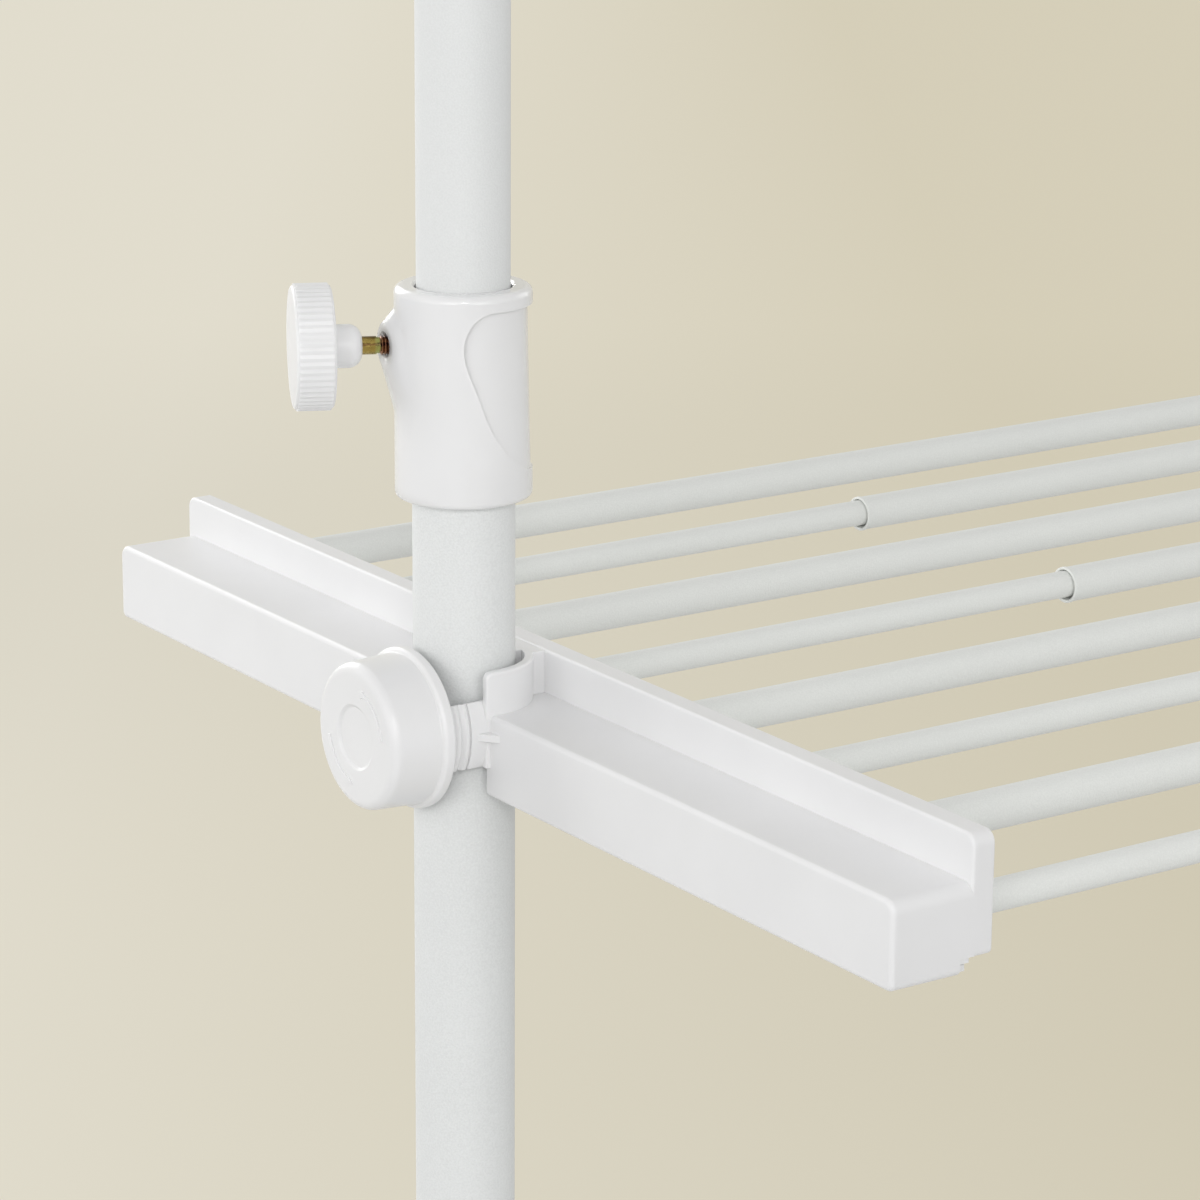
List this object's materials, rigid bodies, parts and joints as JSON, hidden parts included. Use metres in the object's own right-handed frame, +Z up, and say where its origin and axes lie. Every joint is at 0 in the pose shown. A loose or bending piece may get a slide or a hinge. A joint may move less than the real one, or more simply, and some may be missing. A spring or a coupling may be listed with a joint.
{
  "type": "adjustable clothes rack",
  "caption": "White floor-to-ceiling pole rack with telescoping poles, a telescoping slatted tube shelf and a hanging rail, held by screw clamps and ceiling jacks.",
  "frame": {"origin": "on the floor, midway between the two poles", "axes": "+X along the shelf to the right pole, +Z up along the poles, +Y to the back"},
  "size_m": [1.011, 0.4454, 2.3493],
  "materials": {
    "powder_coat": "fine textured white powder coat on steel tube",
    "satin_plastic": "satin white moulded plastic",
    "gloss_plastic": "glossy white moulded plastic",
    "knob_plastic": "half gloss white moulded plastic with fine ridges",
    "yellow_zinc": "yellow passivated zinc on steel",
    "nut_steel": "plain zinc plated steel",
    "rubber": "matte grey rubber"
  },
  "bodies": {
    "left_post": {"left_foot_sole": "rubber", "left_foot_cup": "satin_plastic", "left_lower_pole": "powder_coat", "left_collar": "gloss_plastic", "left_collar_nut": "nut_steel"},
    "left_upper": {"left_upper_pole": "powder_coat", "left_top_plug": "satin_plastic"},
    "left_shoe": {"left_clamp_shoe": "satin_plastic"},
    "left_thumb": {"left_thumb_stud": "yellow_zinc", "left_thumb_knob": "knob_plastic"},
    "left_shelf": {"left_shelf_beam": "satin_plastic", "left_beam_covers": "satin_plastic", "left_tube_tips": "satin_plastic", "left_shelf_outer_tube_1": "powder_coat", "left_shelf_outer_tube_3": "powder_coat", "left_shelf_outer_tube_5": "powder_coat", "left_shelf_outer_tube_7": "powder_coat", "left_shelf_inner_tube_2": "powder_coat", "left_shelf_inner_tube_4": "powder_coat", "left_shelf_inner_tube_6": "powder_coat", "left_shelf_inner_tube_8": "powder_coat"},
    "left_press": {"left_shelf_pad": "satin_plastic"},
    "left_clamp": {"left_shelf_knob": "gloss_plastic"},
    "left_rail": {"left_rail_bracket": "satin_plastic", "left_rail_outer_tube": "powder_coat"},
    "left_rail_press": {"left_rail_pad": "satin_plastic"},
    "left_rail_clamp": {"left_rail_knob": "gloss_plastic"},
    "left_ceiling": {"left_ceiling_cup": "satin_plastic", "left_ceiling_pad": "rubber"},
    "left_jack": {"left_jack_screw": "knob_plastic"},
    "right_post": {"right_foot_sole": "rubber", "right_foot_cup": "satin_plastic", "right_lower_pole": "powder_coat", "right_collar": "gloss_plastic", "right_collar_nut": "nut_steel"},
    "right_upper": {"right_upper_pole": "powder_coat", "right_top_plug": "satin_plastic"},
    "right_shoe": {"right_clamp_shoe": "satin_plastic"},
    "right_thumb": {"right_thumb_stud": "yellow_zinc", "right_thumb_knob": "knob_plastic"},
    "right_shelf": {"right_shelf_beam": "satin_plastic", "right_beam_covers": "satin_plastic", "right_tube_tips": "satin_plastic", "right_shelf_outer_tube_1": "powder_coat", "right_shelf_outer_tube_3": "powder_coat", "right_shelf_outer_tube_5": "powder_coat", "right_shelf_outer_tube_7": "powder_coat", "right_shelf_inner_tube_2": "powder_coat", "right_shelf_inner_tube_4": "powder_coat", "right_shelf_inner_tube_6": "powder_coat", "right_shelf_inner_tube_8": "powder_coat"},
    "right_press": {"right_shelf_pad": "satin_plastic"},
    "right_clamp": {"right_shelf_knob": "gloss_plastic"},
    "right_rail": {"right_rail_bracket": "satin_plastic", "right_rail_inner_tube": "powder_coat"},
    "right_rail_press": {"right_rail_pad": "satin_plastic"},
    "right_rail_clamp": {"right_rail_knob": "gloss_plastic"},
    "right_ceiling": {"right_ceiling_cup": "satin_plastic", "right_ceiling_pad": "rubber"},
    "right_jack": {"right_jack_screw": "knob_plastic"}
  },
  "joints": [
    {"name": "width", "type": "slide", "parent": "left_post", "child": "right_post", "axis": [1, 0, 0], "range_m": [-0.23, 0.25]},
    {"name": "left_height", "type": "slide", "parent": "left_post", "child": "left_upper", "axis": [0, 0, 1], "range_m": [-0.3, 0.2]},
    {"name": "left_shelf_height", "type": "slide", "parent": "left_post", "child": "left_shelf", "axis": [0, 0, 1], "range_m": [-0.9, 0.04]},
    {"name": "left_rail_height", "type": "slide", "parent": "left_upper", "child": "left_rail", "axis": [0, 0, 1], "range_m": [-0.25, 0.15]},
    {"name": "left_shoe_slide", "type": "slide", "parent": "left_post", "child": "left_shoe", "axis": [-0.9063, 0.4226, 0], "range_m": [0, 0.00201]},
    {"name": "left_thumb_turn", "type": "hinge", "parent": "left_shoe", "child": "left_thumb", "pos_m": [-0.45, 0, 1.4221], "axis": [-0.9063, 0.4226, 0], "range_deg": [0, 720]},
    {"name": "left_press_slide", "type": "slide", "parent": "left_shelf", "child": "left_press", "axis": [-1, 0, 0], "range_m": [0, 0.00451]},
    {"name": "left_clamp_turn", "type": "hinge", "parent": "left_press", "child": "left_clamp", "pos_m": [-0.45, 0, 1.3022], "axis": [-1, 0, 0], "range_deg": [0, 540]},
    {"name": "left_rail_press_slide", "type": "slide", "parent": "left_rail", "child": "left_rail_press", "axis": [-1, 0, 0], "range_m": [0, 0.00451]},
    {"name": "left_rail_clamp_turn", "type": "hinge", "parent": "left_rail_press", "child": "left_rail_clamp", "pos_m": [-0.45, 0, 2.052], "axis": [-1, 0, 0], "range_deg": [0, 540]},
    {"name": "left_ceiling_slide", "type": "slide", "parent": "left_upper", "child": "left_ceiling", "axis": [0, 0, 1], "range_m": [-0.00601, 0.01501]},
    {"name": "left_jack_turn", "type": "hinge", "parent": "left_ceiling", "child": "left_jack", "pos_m": [-0.45, 0, 2.322], "axis": [0, 0, 1], "range_deg": [-720, 1800]},
    {"name": "right_height", "type": "slide", "parent": "right_post", "child": "right_upper", "axis": [0, 0, 1], "range_m": [-0.3, 0.2]},
    {"name": "right_shelf_height", "type": "slide", "parent": "right_post", "child": "right_shelf", "axis": [0, 0, 1], "range_m": [-0.9, 0.04]},
    {"name": "right_rail_height", "type": "slide", "parent": "right_upper", "child": "right_rail", "axis": [0, 0, 1], "range_m": [-0.25, 0.15]},
    {"name": "right_shoe_slide", "type": "slide", "parent": "right_post", "child": "right_shoe", "axis": [0.9063, -0.4226, 0], "range_m": [0, 0.00201]},
    {"name": "right_thumb_turn", "type": "hinge", "parent": "right_shoe", "child": "right_thumb", "pos_m": [0.45, 0, 1.4221], "axis": [0.9063, -0.4226, 0], "range_deg": [0, 720]},
    {"name": "right_press_slide", "type": "slide", "parent": "right_shelf", "child": "right_press", "axis": [1, 0, 0], "range_m": [0, 0.00451]},
    {"name": "right_clamp_turn", "type": "hinge", "parent": "right_press", "child": "right_clamp", "pos_m": [0.45, 0, 1.3022], "axis": [1, 0, 0], "range_deg": [0, 540]},
    {"name": "right_rail_press_slide", "type": "slide", "parent": "right_rail", "child": "right_rail_press", "axis": [1, 0, 0], "range_m": [0, 0.00451]},
    {"name": "right_rail_clamp_turn", "type": "hinge", "parent": "right_rail_press", "child": "right_rail_clamp", "pos_m": [0.45, 0, 2.052], "axis": [1, 0, 0], "range_deg": [0, 540]},
    {"name": "right_ceiling_slide", "type": "slide", "parent": "right_upper", "child": "right_ceiling", "axis": [0, 0, 1], "range_m": [-0.00601, 0.01501]},
    {"name": "right_jack_turn", "type": "hinge", "parent": "right_ceiling", "child": "right_jack", "pos_m": [0.45, 0, 2.322], "axis": [0, 0, 1], "range_deg": [-720, 1800]}
  ],
  "couplings": [
    {"joint": "left_shoe_slide", "follows": "left_thumb_turn", "m_per_rad": 0.00015915},
    {"joint": "left_press_slide", "follows": "left_clamp_turn", "m_per_rad": 0.00047746},
    {"joint": "left_rail_press_slide", "follows": "left_rail_clamp_turn", "m_per_rad": 0.00047746},
    {"joint": "left_ceiling_slide", "follows": "left_jack_turn", "m_per_rad": 0.00047746},
    {"joint": "right_shoe_slide", "follows": "right_thumb_turn", "m_per_rad": 0.00015915},
    {"joint": "right_press_slide", "follows": "right_clamp_turn", "m_per_rad": 0.00047746},
    {"joint": "right_rail_press_slide", "follows": "right_rail_clamp_turn", "m_per_rad": 0.00047746},
    {"joint": "right_ceiling_slide", "follows": "right_jack_turn", "m_per_rad": 0.00047746},
    {"joint": "right_height", "follows": "left_height", "ratio": 1},
    {"joint": "right_shelf_height", "follows": "left_shelf_height", "ratio": 1},
    {"joint": "right_rail_height", "follows": "left_rail_height", "ratio": 1}
  ]
}
